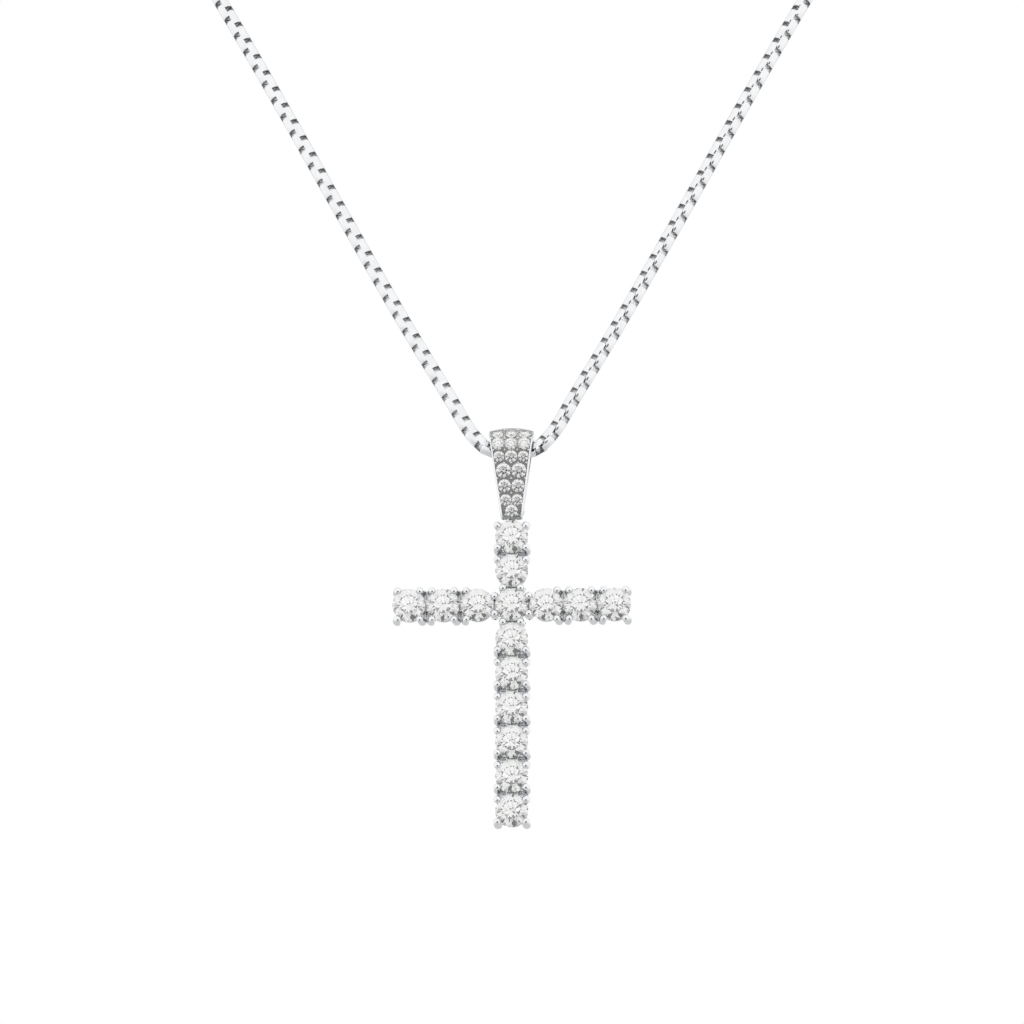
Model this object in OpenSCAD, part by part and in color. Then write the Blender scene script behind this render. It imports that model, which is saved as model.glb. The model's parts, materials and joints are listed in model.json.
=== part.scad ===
// Stone-set cross pendant, hanging on a round box chain.
// Millimetres. X is the viewer's right, Y runs away from the viewer and Z is up.
// The origin is where the clasp lies against the back of the neck.

/* [Stones] */
// Girdle diameter of each round stone in the cross
stone_d = 4.1; // [3.2:0.1:5]
// Gap between the girdles of two stones in a row
stone_gap = 0.17; // [0.1:0.01:0.3]
// Height of the girdle's band
girdle_h = 0.12; // [0.08:0.01:0.2]
// Width of the table over the width of the girdle
table_share = 0.56; // [0.5:0.01:0.65]
// Slope of the crown's main facets, in degrees
crown_angle = 34.5; // [30:0.5:38]
// Slope of the pavilion's main facets, in degrees
pavilion_angle = 41; // [38:0.5:43]
// How far the star facets run from the table out to the girdle, as a share
star_share = 0.5; // [0.4:0.05:0.6]
// How far the lower half facets run from the girdle in to the point, as a share
lower_share = 0.77; // [0.7:0.01:0.85]
// How far each stone is turned from the one before it, in degrees
stone_turn = 17; // [0:1:45]

/* [Cross] */
// Stones in the upright above the centre stone
stones_up = 2; // [1:1:4]
// Stones in the upright below the centre stone
stones_down = 6; // [3:1:9]
// Stones in each arm
stones_side = 3; // [2:1:5]
// Gap between the foot of the bail and the first stone's girdle
foot_gap = 0.1; // [0.05:0.05:0.8]
// How far the girdles stand in front of the line that the pendant hangs from
girdle_out = 0.8; // [0.6:0.05:1.1]

/* [Setting] */
// Diameter of a prong at its tip
prong_d = 0.95; // [0.8:0.05:1.1]
// How far a prong reaches in over the girdle
prong_bite = 0.26; // [0.15:0.01:0.35]
// Angle of a prong from the line across the bar, in degrees
prong_angle = 38.5; // [36:0.5:40]
// Diameter of the prongs that the centre stone shares with its neighbours, at their tips
shared_d = 1; // [0.9:0.05:1.1]
// How far a shared prong reaches in over both girdles
shared_bite = 0.15; // [0.1:0.01:0.2]
// Height of the prong tips in front of the middle of the girdle
tip_h = 0.74; // [0.7:0.02:0.9]
// How much wider a prong is at its back end than at its tip
prong_flare = 0.15; // [0:0.05:0.25]
// Bevel at the back end of each prong
prong_bevel = 0.12; // [0.05:0.01:0.2]
// Clear space round a stone in its seat
seat_clear = 0.03; // [0.02:0.01:0.05]
// Depth of a basket behind the middle of the girdle
basket_depth = 2.3; // [2:0.1:3]
// How far the rails' outer edge lies inside the girdle
rail_inset = 0.12; // [0.05:0.01:0.2]
// Radial width of the gallery rail at the back of a basket
gallery_w = 0.55; // [0.4:0.05:0.7]
// Depth of the gallery rail, front to back
gallery_h = 0.7; // [0.5:0.05:0.8]
// Radial width of the seat rail under the stone
seat_rail_w = 0.42; // [0.3:0.02:0.45]
// Depth of the seat rail, front to back
seat_rail_h = 0.36; // [0.3:0.02:0.4]
// How far the seat rail lies behind the middle of the girdle
seat_rail_at = 0.76; // [0.7:0.02:0.9]
// Width of the bridge that joins the seat rails of two baskets
bridge_w = 1.5; // [1:0.1:2]
// How far the bridge that joins their gallery rails runs past the middles of the prongs
bridge_past = 0.18; // [0:0.02:0.3]
// How far each face of a bridge lies inside the faces of its rails
bridge_inset = 0.06; // [0.02:0.01:0.1]

/* [Bail] */
// Height from the middle of the chain to the top of the bail
bail_rise = 2.93; // [2.7:0.01:3.2]
// Height from the middle of the chain down to the foot of the bail
bail_drop = 8.65; // [7.8:0.05:10]
// Width of the bail at its top corners
bail_top_w = 5.66; // [4.6:0.02:6.6]
// Width of the bail at its foot
bail_foot_w = 2.7; // [2.4:0.1:3.5]
// How far the top of the bail is crowned from corner to middle
bail_crown = 0.48; // [0.2:0.02:0.6]
// Radius of the bail's outside where it passes over the chain
bail_r = 2.45; // [2.3:0.05:2.8]
// Radius of the bail's outside at the foot
bail_foot_r = 1.1; // [1.1:0.05:1.4]
// How far the middle of the bail's depth stands in front of the chain
bail_forward = 0.15; // [0:0.05:0.3]
// Clear space round the chain inside the bail
bail_clear = 0.525; // [0.5:0.025:0.6]
// Radius of the low end of the space inside the bail
loop_low_r = 0.4; // [0.3:0.05:0.5]
// Metal between the low end of that space and the slot in the foot
web_h = 1.1; // [0.8:0.1:1.5]
// Width of the polished rims beside the paved field
rim_w = 0.34; // [0.2:0.02:0.5]
// How deep the paved field lies below the rims
field_recess = 0.12; // [0.05:0.01:0.2]
// How far the field's top end lies in front of the chain
field_end = 1; // [0:0.1:1.5]

/* [Hanger] */
// Diameter of the hidden pin in the foot of the bail
pin_d = 0.6; // [0.5:0.05:0.8]
// How far the pin lies below the middle of the foot's curve
pin_low = 0.1; // [0:0.05:0.2]
// How far the pin lies behind the chain
pin_back = 0.2; // [0.1:0.05:0.3]
// Thickness of the tab that hangs on the pin
tab_t = 0.9; // [0.7:0.05:1.1]
// Radius of the tab's eye
eye_r = 0.65; // [0.6:0.05:0.8]
// How far the tab runs down into the rails of the topmost basket
tab_sink = 0.38; // [0.2:0.02:0.5]
// Clear space between the tab and the slot it hangs in
slot_clear = 0.1; // [0.05:0.01:0.15]
// Clear space round the pin
pin_clear = 0.03; // [0.02:0.01:0.05]

/* [Chain and clasp] */
// Diameter of the chain, corner to corner of its square links
chain_d = 1.75; // [1.2:0.05:1.9]
// Diameter of the clasp's barrel
clasp_d = 3.4; // [3:0.1:5]
// Length of the clasp
clasp_len = 12; // [9:0.5:16]
// Length of each tapered end of the clasp
clasp_taper = 2; // [1:0.25:3]
// Depth of the socket that takes each end of the chain
socket_depth = 1.5; // [1:0.25:2]
// Clear space round the chain's ends in their sockets
socket_clear = 0.1; // [0.05:0.01:0.2]
// Metal round each socket at the clasp's ends
clasp_lip = 0.4; // [0.3:0.05:0.6]

/* [Hidden] */
$fn = 48;
chain_sides = 8;
cut = 0.5;
hair = 0.01;

// Right half of the chain's route, from its low point in the bail to the mouth of the clasp.
// X, Y and Z of each point, measured from the low point, chosen by hand.
chosen_route = [
    [0, 0, 0], [1.4, 0, 0.05], [2.7, 0, 0.27], [3.9, 0.1, 1.05], [5.6, 0.3, 3.1],
    [8, 0.5, 7.2], [14, 1, 17.3], [22, 1.7, 31.5], [30, 2.6, 45.9], [38, 4, 59.8],
    [47, 8, 74.5], [55, 17, 89.5], [60.5, 31, 104.5], [62.5, 47, 116], [60, 64, 125],
    [53, 80, 131], [42, 94, 133.5], [28.5, 105, 134.5], [16, 110.4, 135], [9.5, 111.9, 135],
    [7, 112, 135]
];
// Rings of the tube between one point of the route and the next
rings_near = 1;
rings_far = 2;
first_far = 5;

// The clasp's middle lies on the line of the route's end, and the route runs on to just short of
// the bottom of its socket.
mouth = chosen_route[len(chosen_route) - 1];
nape = [0, mouth[1], mouth[2]];
route = concat(
    chosen_route,
    [nape + [clasp_len / 2 - socket_depth + socket_clear, 0, 0]]
);
hang_at = [0, clasp_d / 2 - nape[1], -nape[2]];

stone_r = stone_d / 2;
pitch = stone_d + stone_gap;
table_r = stone_r * table_share;
crown_h = (stone_r - table_r) * tan(crown_angle);
pavilion_h = stone_r * tan(pavilion_angle);
prong_at = stone_r + prong_d / 2 - prong_bite;
prong_across = prong_at * cos(prong_angle);
shared_at = stone_r + shared_d / 2 - shared_bite;
shared_across = sqrt(pow(shared_at, 2) - pow(pitch / 2, 2));
rail_r = stone_r - rail_inset;
first_z = -bail_drop - foot_gap - stone_r;
centre_z = first_z - stones_up * pitch;

// Each stone of the cross: its name, its steps across and its steps up from the centre stone
STONES = concat(
    [["stone_centre", 0, 0]],
    [for (i = [1:stones_up]) [str("stone_up_", i), 0, i]],
    [for (i = [1:stones_down]) [str("stone_down_", i), 0, -i]],
    [for (i = [1:stones_side]) [str("stone_left_", i), -i, 0]],
    [for (i = [1:stones_side]) [str("stone_right_", i), i, 0]]
);

// A point of the curve through b and c, at share t of the way from b to c
function on_curve(a, b, c, d, t) =
    b + t * (c - a) / 2
    + t * t * (a - 2.5 * b + 2 * c - d / 2)
    + t * t * t * (-a / 2 + 1.5 * b - 1.5 * c + d / 2);

function flip(p) = [-p[0], p[1], p[2]];
function unit(v) = v / norm(v);

// The whole route, from the clasp's left end round to its right end
whole_route = concat(
    [for (i = [len(route) - 1:-1:1]) flip(route[i])],
    route
);

function rings_after(i) =
    let (from_low = abs(i + 0.5 - (len(route) - 1)))
    from_low > first_far ? rings_far : rings_near;

// The line that the tube's rings sit on
function route_point(i) = whole_route[max(0, min(len(whole_route) - 1, i))];
centre_line = concat(
    [for (i = [0:len(whole_route) - 2])
        for (k = [0:rings_after(i) - 1])
            on_curve(
                route_point(i - 1), route_point(i), route_point(i + 1), route_point(i + 2),
                k / rings_after(i))],
    [whole_route[len(whole_route) - 1]]
);

function heading(line, i) =
    unit(line[min(i + 1, len(line) - 1)] - line[max(i - 1, 0)]);

// A direction square to the last ring's, carried to the next ring with no twist
function carried(side, forward) = unit(side - forward * (side * forward));

function sides_along(line, i = 0, last = [0, 0, 1]) =
    i == len(line)
        ? []
        : let (side = carried(last, heading(line, i)))
          concat([side], sides_along(line, i + 1, side));

// A bar along X whose outline is two circles on the vertical axis and the straight sides between
// them. The sides lie a hair inside the tangents, so that they cross the circles.
module tear_bar(top_r, top_z, foot_r, foot_z) {
    lean = (top_r - foot_r) / (top_z - foot_z);
    out = sqrt(1 - lean * lean);
    top = top_r - hair;
    foot = foot_r - hair;
    length = 2 * bail_top_w;
    for (end = [[top_r, top_z], [foot_r, foot_z]])
        translate([0, 0, end[1]])
            rotate([0, 90, 0])
                cylinder(r = end[0], h = length, center = true);
    rotate([90, 0, 90])
        linear_extrude(length + cut, center = true)
            polygon([
                [top * out, top_z - top * lean],
                [foot * out, foot_z - foot * lean],
                [-foot * out, foot_z - foot * lean],
                [-top * out, top_z - top * lean]
            ]);
}

// Turns an outline drawn in X and Z into a solid along Y
module along_y(length) {
    rotate([90, 0, 0])
        linear_extrude(length, center = true)
            children();
}

// Puts a piece drawn round a stone's axis, table towards +Z, at its place in the cross
module at_stone(across, up) {
    translate([across * pitch, -girdle_out, centre_z + up * pitch])
        rotate([90, 0, 0])
            children();
}

// A round brilliant, table towards +Z, the middle of its girdle at the origin
module brilliant() {
    half = 22.5;
    girdle = girdle_h / 2;
    flat_r = table_r * cos(half);
    star_r = flat_r + (stone_r - flat_r) * star_share;
    lower_r = stone_r * (1 - lower_share);
    star_z = girdle + (stone_r - star_r * cos(half)) * tan(crown_angle);
    lower_z = -girdle - (stone_r - lower_r * cos(half)) * tan(pavilion_angle);
    points = concat(
        [for (k = [0:7]) [table_r * cos(45 * k), table_r * sin(45 * k), girdle + crown_h]],
        [for (k = [0:7]) [star_r * cos(45 * k + half), star_r * sin(45 * k + half), star_z]],
        [for (k = [0:15]) [stone_r * cos(half * k), stone_r * sin(half * k), girdle]],
        [for (k = [0:15]) [stone_r * cos(half * k), stone_r * sin(half * k), -girdle]],
        [for (k = [0:7]) [lower_r * cos(45 * k + half), lower_r * sin(45 * k + half), lower_z]],
        [[0, 0, -girdle - pavilion_h]]
    );
    star = 8;
    top = 16;
    bottom = 32;
    lower = 48;
    culet = 56;
    faces = concat(
        [[for (k = [7:-1:0]) k]],
        [for (k = [0:7]) let (n = (k + 1) % 8, b = (k + 7) % 8, g = top + 2 * k)
            each [
                [k, n, star + k],
                [k, star + k, g],
                [k, g, star + b],
                [star + k, top + 2 * k + 1, g],
                [star + k, top + 2 * n, top + 2 * k + 1]
            ]],
        [for (k = [0:15]) let (n = (k + 1) % 16)
            each [
                [top + k, top + n, bottom + n],
                [top + k, bottom + n, bottom + k]
            ]],
        [for (k = [0:7]) let (n = (k + 1) % 8, b = (k + 7) % 8, g = bottom + 2 * k)
            each [
                [culet, g, lower + k],
                [culet, lower + b, g],
                [lower + k, g, bottom + 2 * k + 1],
                [lower + k, bottom + 2 * k + 1, bottom + 2 * n]
            ]]
    );
    polyhedron(points, faces);
}

// The space a stone takes in its prongs, with its clearance
module seat() {
    wider = seat_clear / sin(crown_angle);
    girdle = girdle_h / 2 + seat_clear;
    out = stone_r + seat_clear;
    top = girdle + crown_h;
    rotate_extrude()
        polygon([
            [0, top], [table_r + wider, top], [out, girdle],
            [out, -girdle], [wider, -girdle - pavilion_h], [0, -girdle - pavilion_h]
        ]);
}

// A prong along Z, with a domed tip in front of the girdle, and flared to its bevelled end behind
// the basket
module prong(d) {
    r = d / 2;
    back_r = r + prong_flare / 2;
    shoulder = tip_h - r;
    foot = -basket_depth - prong_bevel;
    rotate_extrude() {
        polygon([
            [0, shoulder], [r, shoulder],
            [back_r, foot + prong_bevel], [back_r - prong_bevel, foot], [0, foot]
        ]);
        translate([0, shoulder])
            intersection() {
                circle(r);
                square(r);
            }
    }
}

module rail(width, height, at) {
    translate([0, 0, -at - height])
        rotate_extrude()
            translate([rail_r - width, 0])
                square([width, height]);
}

// One stone's basket with the prongs that are its own. A stone next to the centre has them on
// its far side only, and the centre stone has none.
module basket(across, up) {
    steps = abs(across) + abs(up);
    outward = up == 0 ? (across < 0 ? 180 : 0) : (up < 0 ? -90 : 90);
    at_stone(across, up) {
        rail(gallery_w, gallery_h, basket_depth - gallery_h);
        rail(seat_rail_w, seat_rail_h, seat_rail_at);
        difference() {
            rotate([0, 0, outward])
                for (end = steps == 0 ? [] : steps == 1 ? [1] : [-1, 1], side = [-1, 1])
                    rotate([0, 0, end > 0 ? side * (90 - prong_angle) : 180 + side * (90 - prong_angle)])
                        translate([prong_at, 0])
                            prong(prong_d);
            seat();
        }
    }
}

// The two prongs that the centre stone shares with the stone next to it in one direction
module shared_prongs(turn) {
    at_stone(0, 0)
        rotate([0, 0, turn])
            difference() {
                for (side = [-1, 1])
                    translate([pitch / 2, side * shared_across])
                        prong(shared_d);
                seat();
                translate([pitch, 0])
                    seat();
            }
}

// Joins a basket to the next one nearer to the centre stone
module bridge(across, up) {
    reach = stone_gap + 2 * rail_inset + gallery_w;
    shared = abs(across) + abs(up) == 1;
    wide = 2 * ((shared ? shared_across : prong_across) + bridge_past);
    rails = [[basket_depth - gallery_h, gallery_h, wide], [seat_rail_at, seat_rail_h, bridge_w]];
    at_stone(across - sign(across) / 2, up - sign(up) / 2)
        for (r = rails)
            translate([0, 0, -r[0] - r[1] / 2])
                cube(
                    up == 0
                        ? [reach, r[2], r[1] - 2 * bridge_inset]
                        : [r[2], reach, r[1] - 2 * bridge_inset],
                    center = true);
}

eye_z = -bail_drop + bail_foot_r - pin_low;
slot_top = eye_z + eye_r + slot_clear;

// The tab on the topmost basket, which hangs on the pin in the foot of the bail
module tab() {
    low = first_z + rail_r - tab_sink;
    front = seat_rail_at - girdle_out + bridge_inset;
    difference() {
        union() {
            translate([0, pin_back, eye_z])
                rotate([0, 90, 0])
                    cylinder(r = eye_r, h = tab_t, center = true);
            translate([-tab_t / 2, front, low])
                cube([tab_t, pin_back + eye_r - front, eye_z - low]);
        }
        translate([0, pin_back, eye_z])
            rotate([0, 90, 0])
                cylinder(d = pin_d + 2 * pin_clear, h = tab_t + cut, center = true);
    }
}

module cross_setting() {
    color("silver") {
        for (s = STONES)
            basket(s[1], s[2]);
        for (turn = [0, 90, 180, 270])
            shared_prongs(turn);
        for (s = STONES)
            if (s[1] != 0 || s[2] != 0)
                bridge(s[1], s[2]);
        tab();
    }
}

module stone(index, across, up) {
    color("aliceblue")
        at_stone(across, up)
            rotate([0, 0, stone_turn * index])
                brilliant();
}

bail_mid_z = bail_rise - bail_r;
foot_mid_z = -bail_drop + bail_foot_r;

// The bail's outside as seen from the side, shrunk by less
module bail_side(less) {
    translate([0, -bail_forward, 0])
        tear_bar(bail_r - less, bail_mid_z, bail_foot_r - less, foot_mid_z);
}

// The bail seen from the front, drawn in X and Z and narrowed by less on each side
module bail_front(less) {
    corner_z = bail_rise - bail_crown;
    top = bail_top_w / 2 - less;
    foot = bail_foot_w / 2 - less;
    polygon([
        [-top, corner_z + cut], [top, corner_z + cut],
        [top, corner_z], [foot, -bail_drop + less],
        [-foot, -bail_drop + less], [-top, corner_z]
    ]);
}

// The barrel along Y whose top the crowned bail follows, sunk by less
module bail_barrel(less) {
    half = bail_top_w / 2;
    r = (half * half + bail_crown * bail_crown) / (2 * bail_crown);
    translate([0, 0, bail_rise - r])
        rotate([90, 0, 0])
            cylinder(r = r - less, h = 4 * bail_r, center = true, $fn = 160);
}

// The space inside the bail that the chain runs through
module bail_loop() {
    tear_bar(chain_d / 2 + bail_clear, 0, loop_low_r, slot_top + web_h + loop_low_r);
}

module bail() {
    slot_w = tab_t + 2 * slot_clear;
    slot_front = pin_back - eye_r - slot_clear;
    color("silver")
        difference() {
            intersection() {
                bail_side(0);
                along_y(4 * bail_r)
                    bail_front(0);
                bail_barrel(0);
            }
            bail_loop();
            // The paved field, a shallow recess between the rims that ends near the top
            difference() {
                translate([0, -2 * bail_r - field_end, 0])
                    along_y(4 * bail_r)
                        bail_front(rim_w);
                intersection() {
                    bail_side(field_recess);
                    bail_barrel(field_recess);
                }
            }
            translate([-slot_w / 2, slot_front, -bail_drop - cut])
                cube([slot_w, 2 * bail_r, slot_top + bail_drop + cut]);
            translate([0, pin_back, eye_z])
                rotate([0, 90, 0])
                    cylinder(d = pin_d + 2 * pin_clear, h = 2 * bail_foot_w, center = true);
        }
}

module hanger_pin() {
    color("silver")
        translate([0, pin_back, eye_z])
            rotate([0, 90, 0])
                cylinder(d = pin_d, h = bail_foot_w, center = true);
}

// The chain as one tube of its outer size, its two ends inside the clasp
module chain() {
    line = centre_line;
    sides = sides_along(line);
    count = len(line);
    r = chain_d / 2;
    rings = [for (i = [0:count - 1])
        let (f = heading(line, i), s = sides[i], t = cross(f, s))
        for (k = [0:chain_sides - 1])
            let (a = 360 * k / chain_sides)
            line[i] + r * (cos(a) * s + sin(a) * t)];
    skin = [for (i = [0:count - 2], k = [0:chain_sides - 1])
        let (a = i * chain_sides, n = (k + 1) % chain_sides)
        each [
            [a + k, a + n + chain_sides, a + n],
            [a + k, a + k + chain_sides, a + n + chain_sides]
        ]];
    start = [[for (k = [0:chain_sides - 1]) k]];
    end = [[for (k = [chain_sides - 1:-1:0]) (count - 1) * chain_sides + k]];
    color("silver")
        polyhedron(rings, concat(skin, start, end));
}

// A plain barrel clasp with a blind socket at each end
module clasp() {
    end_d = chain_d + 2 * (socket_clear + clasp_lip);
    color("silver")
        translate([0, nape[1], nape[2]])
            rotate([0, 90, 0])
                difference() {
                    union() {
                        cylinder(d = clasp_d, h = clasp_len - 2 * clasp_taper, center = true);
                        for (side = [0, 180])
                            rotate([side, 0, 0])
                                translate([0, 0, clasp_len / 2 - clasp_taper])
                                    cylinder(d1 = clasp_d, d2 = end_d, h = clasp_taper);
                    }
                    for (side = [0, 180])
                        rotate([side, 0, 0])
                            translate([0, 0, clasp_len / 2 - socket_depth])
                                cylinder(d = chain_d + 2 * socket_clear, h = socket_depth + cut);
                }
}

translate(hang_at) {
    chain();
    clasp();
    bail();
    hanger_pin();
    cross_setting();
    for (i = [0:len(STONES) - 1])
        stone(i, STONES[i][1], STONES[i][2]);
}
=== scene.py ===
import json
import math

import bmesh
import bpy
from bpy.props import FloatProperty, FloatVectorProperty, IntProperty, PointerProperty
from mathutils import Matrix, Vector


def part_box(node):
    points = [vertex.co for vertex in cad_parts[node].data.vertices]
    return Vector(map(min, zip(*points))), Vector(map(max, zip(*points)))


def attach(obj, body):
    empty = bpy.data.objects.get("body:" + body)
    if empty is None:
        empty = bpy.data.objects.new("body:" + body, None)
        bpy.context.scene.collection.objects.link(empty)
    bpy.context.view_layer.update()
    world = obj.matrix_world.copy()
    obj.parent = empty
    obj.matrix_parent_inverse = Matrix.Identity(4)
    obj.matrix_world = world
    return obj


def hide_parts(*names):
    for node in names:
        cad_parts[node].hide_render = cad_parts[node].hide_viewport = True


bl_info = {
    "name": "Stone-set cross pendant",
    "version": (1, 0, 0),
    "blender": (4, 5, 0),
    "location": "View3D > Sidebar > Pendant",
    "description": "Brilliants, prong baskets, paved bail and round box chain on the packed solids",
    "category": "Object",
}

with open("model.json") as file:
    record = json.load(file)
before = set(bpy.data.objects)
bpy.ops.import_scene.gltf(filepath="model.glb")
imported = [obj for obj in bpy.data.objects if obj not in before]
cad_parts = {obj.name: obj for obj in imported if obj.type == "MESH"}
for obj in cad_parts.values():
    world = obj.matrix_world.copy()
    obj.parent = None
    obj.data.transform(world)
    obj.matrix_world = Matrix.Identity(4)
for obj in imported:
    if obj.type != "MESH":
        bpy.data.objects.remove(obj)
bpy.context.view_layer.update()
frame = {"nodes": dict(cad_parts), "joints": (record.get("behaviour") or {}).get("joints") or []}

# The pieces are modelled in millimetres from the point that the pendant hangs by.
MM = 0.001
HANG = Vector(frame["joints"][0]["pos_m"])
TO_FRAME = Matrix.Translation(HANG) @ Matrix.Scale(MM, 4)
# Turns a piece drawn with its front towards +Z to face the viewer, along -Y
TO_VIEWER = Matrix.Rotation(math.pi / 2, 4, "X")

STONE_NODES = sorted(n for n in frame["nodes"] if n.startswith("stone_"))

# A union or a cut that changes less than this many cubic millimetres has failed
LEAST_CHANGE = 1e-4

# Right half of the chain's route in millimetres, as the solid tube has it
ROUTE = [
    (0, 0, 0), (1.4, 0, 0.05), (2.7, 0, 0.27), (3.9, 0.1, 1.05), (5.6, 0.3, 3.1),
    (8, 0.5, 7.2), (14, 1, 17.3), (22, 1.7, 31.5), (30, 2.6, 45.9), (38, 4, 59.8),
    (47, 8, 74.5), (55, 17, 89.5), (60.5, 31, 104.5), (62.5, 47, 116), (60, 64, 125),
    (53, 80, 131), (42, 94, 133.5), (28.5, 105, 134.5), (16, 110.4, 135), (9.5, 111.9, 135),
    (7, 112, 135), (4.6, 112, 135),
]

# The hidden pin in the bail's foot: how far behind and over the hanging point it lies, and the
# radius of its hole
PIN_Y, PIN_Z, PIN_HOLE = 0.2, -7.65, 0.33
PIN_PLACE = Matrix.Translation((0, PIN_Y, PIN_Z)) @ Matrix.Rotation(math.pi / 2, 4, "Y")

# Rows of the bail's paving: height, then the distance from the middle and the diameter of each
# stone, mirrored to the other side
PAVE_ROWS = [
    (2.05, (0, 1.58), (1.68, 1.56)),
    (0.62, (0, 1.52), (1.64, 1.52)),
    (-0.93, (0, 1.58), (1.52, 1.36)),
    (-2.66, (0.96, 1.87)),
    (-4.55, (0.84, 1.64)),
    (-6.28, (0.72, 1.42)),
    (-7.62, (0, 1.56)),
]

# Rows of grains between the stones: height, and the distances from the middle
GRAIN_ROWS = [
    (2.60, (0.83,)),
    (1.36, (0.80, 2.36)),
    (-0.13, (0.78, 2.18)),
    (-1.72, (0.0, 0.86, 1.92)),
    (-3.62, (0.0, 1.72)),
    (-5.42, (0.0, 1.48)),
    (-6.76, (0.0, 1.28)),
    (-8.10, (0.74,)),
]


def length_setting(name, description, default):
    """A setting in metres."""
    return FloatProperty(
        name=name, description=description, default=default, unit="LENGTH", precision=5)


def share_setting(name, description, default, low, high):
    """A setting without a unit, from low to high."""
    return FloatProperty(
        name=name, description=description, default=default, subtype="FACTOR", min=low, max=high)


def angle_setting(name, description, degrees):
    """A setting that is an angle."""
    return FloatProperty(
        name=name, description=description, default=math.radians(degrees), unit="ROTATION")


def count_setting(name, description, default):
    """A setting that is a number of stones."""
    return IntProperty(name=name, description=description, default=default, min=1)


def colour_setting(name, description, default):
    """A setting that is a colour."""
    return FloatVectorProperty(
        name=name, description=description, default=default, subtype="COLOR", size=3, min=0, max=1)


class StoneSizes(bpy.types.PropertyGroup):
    """Sizes of the round brilliants"""

    diameter: length_setting("Diameter", "Across the girdle of a stone in the cross", 0.0041)
    girdle: length_setting("Girdle", "Height of the girdle's band", 0.00012)
    table: share_setting(
        "Table", "Width of the table over the width of the girdle", 0.56, 0.4, 0.7)
    crown: angle_setting("Crown angle", "Slope of the crown's main facets", 34.5)
    pavilion: angle_setting("Pavilion angle", "Slope of the pavilion's main facets", 41.0)
    star: share_setting(
        "Star length", "How far the star facets run from the table to the girdle", 0.5, 0.3, 0.7)
    lower: share_setting(
        "Lower half length", "How far the lower halves run from the girdle to the point",
        0.77, 0.6, 0.9)
    turn: angle_setting("Turn", "How far each stone is turned from the one before it", 17.0)


class CrossSizes(bpy.types.PropertyGroup):
    """Sizes of the soldered cross"""

    pitch: length_setting("Pitch", "From one stone's middle to the next one's", 0.00427)
    up: count_setting("Stones above", "Stones above the centre stone", 2)
    down: count_setting("Stones below", "Stones below the centre stone", 6)
    side: count_setting("Stones in an arm", "Stones in each arm", 3)
    prong: length_setting("Prong", "Diameter of a prong's bead", 0.00095)
    shared: length_setting("Shared prong", "Diameter of a prong that two stones share", 0.001)
    shaft: share_setting(
        "Shaft", "Diameter of a prong behind its bead, over the bead's", 0.92, 0.7, 1.0)
    flare: length_setting(
        "Flare", "How much wider a prong is at its back end than at its bead", 0.00018)
    lean: length_setting(
        "Lean", "How far a prong's back end stands out from its bead along the bar", 0.00017)
    tip: length_setting("Tip height", "Tips in front of the middle of the girdle", 0.00074)
    depth: length_setting("Basket depth", "Basket behind the middle of the girdle", 0.0023)
    rail: length_setting("Rail", "Radius of the rails' outer edge", 0.00193)


class BailSizes(bpy.types.PropertyGroup):
    """Sizes of the bail"""

    top_width: length_setting("Top width", "Width at the top corners", 0.00566)
    foot_width: length_setting("Foot width", "Width at the foot", 0.0027)
    crown: length_setting("Crown", "Height of the crowned top from corner to middle", 0.00048)
    recess: length_setting("Recess", "Depth of the paved field below the rims", 0.00012)
    top_rim: length_setting("Rim at the top", "Width of each rim at the top", 0.00015)
    foot_rim: length_setting("Rim at the foot", "Width of each rim at the foot", 0.00028)
    grain: length_setting("Grain", "Radius of the grains that hold the small stones", 0.00015)


class ChainSizes(bpy.types.PropertyGroup):
    """Sizes of the round box chain"""

    diameter: length_setting("Diameter", "Across the chain", 0.00177)
    pitch: length_setting("Pitch", "From one link's middle to the next one's", 0.00123)
    shift: length_setting(
        "Shift", "How far the links lie along the chain from even about its middle", 0.000185)
    link: length_setting("Link length", "Length of one link", 0.00197)
    strap: length_setting("Strap", "Thickness of the strap that a link is bent from", 0.0003)


class FinishChoices(bpy.types.PropertyGroup):
    """Colours of the metal, the stones and the floor"""

    metal: colour_setting("Metal", "Colour of the polished white gold", (0.893, 0.905, 0.922))
    # The inside colour is painted shade: the dark lines of shade along the steep edges of the
    # bail's recessed field.
    inside: colour_setting(
        "Metal in corners", "Colour of the white gold where polish doesn't reach",
        (0.42, 0.425, 0.43))
    # The tumbled colour is partly real and partly painted: the rougher tumbled finish is real, and
    # its darker colour is painted shade inside the links, the baskets and the grooves.
    tumbled_shade: colour_setting(
        "Tumbled metal", "Colour of the white gold inside the links, the baskets and the grooves",
        (0.79, 0.798, 0.81))
    # The cut colour is painted shade: a grey that stands in for the shade in the bail's recessed
    # field between the small stones.
    cut: colour_setting(
        "Cut metal", "Colour of the white gold between the small stones", (0.52, 0.52, 0.512))
    stone: colour_setting("Stone", "Colour of the clear stones", (0.995, 0.995, 0.99))
    floor: colour_setting("Floor", "Colour of the pale floor", (0.86, 0.86, 0.86))


class StageSizes(bpy.types.PropertyGroup):
    """Where the camera and the floor stand"""

    lens: FloatProperty(
        name="Lens", description="Focal length in millimetres", default=200.0, unit="CAMERA")
    view_width: length_setting(
        "View width", "What the picture's width covers at the pendant", 1.024 / 8.02)
    azimuth: angle_setting("Azimuth", "How far the camera stands to the right", 3.0)
    elevation: angle_setting("Elevation", "How far the camera stands above the level", -7.5)
    aim: length_setting("Aim", "Height of the picture's middle over the hanging point", -0.00761)
    floor_drop: length_setting("Floor drop", "How far the floor lies below the nape", 0.32)
    floor_size: length_setting("Floor size", "Side of the floor", 8.0)


def mm(length):
    """A length of the settings, in millimetres."""
    return length / MM


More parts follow.
